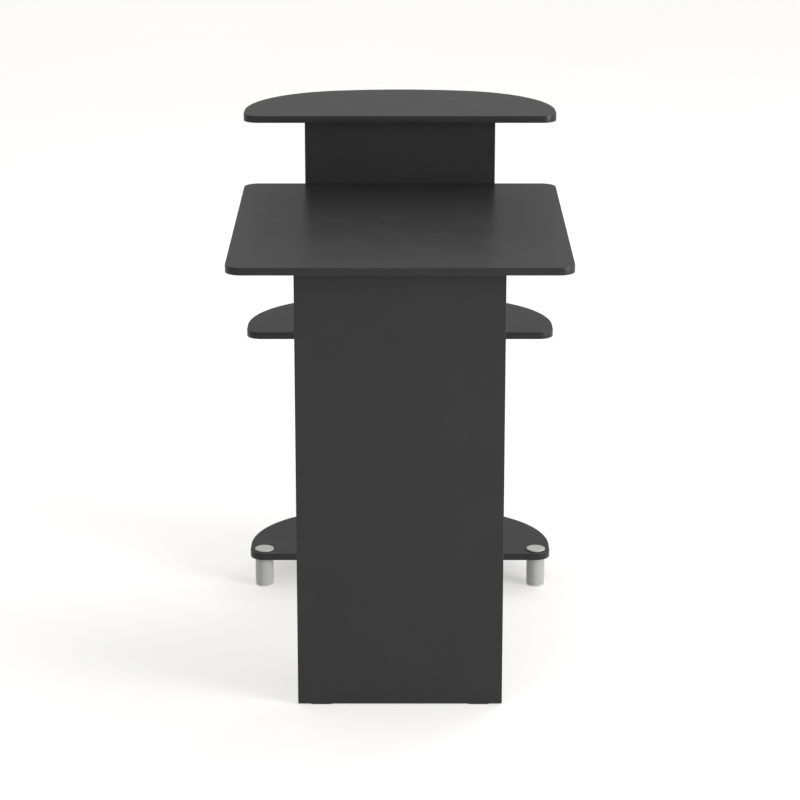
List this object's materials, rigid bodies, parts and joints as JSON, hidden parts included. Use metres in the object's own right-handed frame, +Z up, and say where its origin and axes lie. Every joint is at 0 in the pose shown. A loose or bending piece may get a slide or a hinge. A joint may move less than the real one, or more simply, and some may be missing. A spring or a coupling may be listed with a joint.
{
  "type": "computer desk",
  "caption": "Narrow computer desk with a sliding keyboard tray, an end panel, and D-shaped shelves above, beside and below the desktop, on short tube feet.",
  "frame": {"origin": "on the floor under the middle of the desk's bounding box", "axes": "+Z up, +X along the desk from the end panel to the shelves' apex, the user sits on the -Y side"},
  "size_m": [0.815, 0.53, 0.848],
  "materials": {
    "melamine": "satin anthracite melamine on particle board, with matching edge band",
    "tube_plastic": "silver-grey rigid plastic tube, semi-gloss",
    "cap_plastic": "mid-grey moulded plastic",
    "glide_plastic": "black moulded plastic",
    "coated_steel": "black powder-coated sheet steel",
    "nylon": "white nylon",
    "zinc": "zinc-plated, die-cast",
    "beech": "raw fluted beech"
  },
  "bodies": {
    "frame": {"bolt_bottom_shelf_back": "zinc", "bolt_bottom_shelf_front": "zinc", "bolt_desktop_back": "zinc", "bolt_desktop_front": "zinc", "bolt_end_panel_back": "zinc", "bolt_end_panel_front": "zinc", "bolt_middle_shelf_back": "zinc", "bolt_middle_shelf_front": "zinc", "bolt_modesty_centre": "zinc", "bolt_modesty_end": "zinc", "bolt_top_shelf_back": "zinc", "bolt_top_shelf_front": "zinc", "bottom_shelf": "melamine", "cam_bottom_shelf_back": "zinc", "cam_bottom_shelf_front": "zinc", "cam_desktop_back": "zinc", "cam_desktop_front": "zinc", "cam_end_panel_back": "zinc", "cam_end_panel_front": "zinc", "cam_middle_lower_back": "zinc", "cam_middle_lower_front": "zinc", "cam_middle_upper_back": "zinc", "cam_middle_upper_front": "zinc", "cam_modesty_centre": "zinc", "cam_modesty_end": "zinc", "cam_top_shelf_back": "zinc", "cam_top_shelf_front": "zinc", "desktop": "melamine", "dowel_modesty_centre": "beech", "dowel_modesty_end": "beech", "end_glide_back": "glide_plastic", "end_glide_front": "glide_plastic", "end_panel": "melamine", "foot_base_apex": "cap_plastic", "foot_base_back": "cap_plastic", "foot_base_front": "cap_plastic", "foot_cap_apex": "cap_plastic", "foot_cap_back": "cap_plastic", "foot_cap_front": "cap_plastic", "foot_tube_apex": "tube_plastic", "foot_tube_back": "tube_plastic", "foot_tube_front": "tube_plastic", "front_axle_centre": "zinc", "front_axle_end": "zinc", "lower_centre_panel": "melamine", "middle_shelf": "melamine", "modesty_panel": "melamine", "outer_rail_centre": "coated_steel", "outer_rail_end": "coated_steel", "top_shelf": "melamine", "upper_centre_panel": "melamine"},
    "tray": {"keyboard_tray": "melamine", "inner_rail_end": "coated_steel", "inner_rail_centre": "coated_steel", "rear_axle_end": "zinc", "rear_axle_centre": "zinc"},
    "front_roller_end": {"front_roller_end": "nylon"},
    "front_roller_centre": {"front_roller_centre": "nylon"},
    "rear_roller_end": {"rear_roller_end": "nylon"},
    "rear_roller_centre": {"rear_roller_centre": "nylon"}
  },
  "joints": [
    {"name": "tray_slide", "type": "slide", "parent": "frame", "child": "tray", "axis": [0, -1, 0], "range_m": [0, 0.22]},
    {"name": "front_roller_spin_end", "type": "hinge", "parent": "frame", "child": "front_roller_end", "pos_m": [-0.35, -0.147, 0.63125], "axis": [1, 0, 0], "range_deg": [0, 1801]},
    {"name": "front_roller_spin_centre", "type": "hinge", "parent": "frame", "child": "front_roller_centre", "pos_m": [0.187, -0.147, 0.63125], "axis": [1, 0, 0], "range_deg": [0, 1801]},
    {"name": "rear_roller_spin_end", "type": "hinge", "parent": "tray", "child": "rear_roller_end", "pos_m": [-0.3495, 0.133, 0.63325], "axis": [1, 0, 0], "range_deg": [0, 1801]},
    {"name": "rear_roller_spin_centre", "type": "hinge", "parent": "tray", "child": "rear_roller_centre", "pos_m": [0.1865, 0.133, 0.63325], "axis": [1, 0, 0], "range_deg": [0, 1801]}
  ],
  "couplings": [
    {"joint": "front_roller_spin_end", "follows": "tray_slide", "rad_per_m": 142.86},
    {"joint": "front_roller_spin_centre", "follows": "tray_slide", "rad_per_m": 142.86},
    {"joint": "rear_roller_spin_end", "follows": "tray_slide", "rad_per_m": 142.86},
    {"joint": "rear_roller_spin_centre", "follows": "tray_slide", "rad_per_m": 142.86}
  ]
}
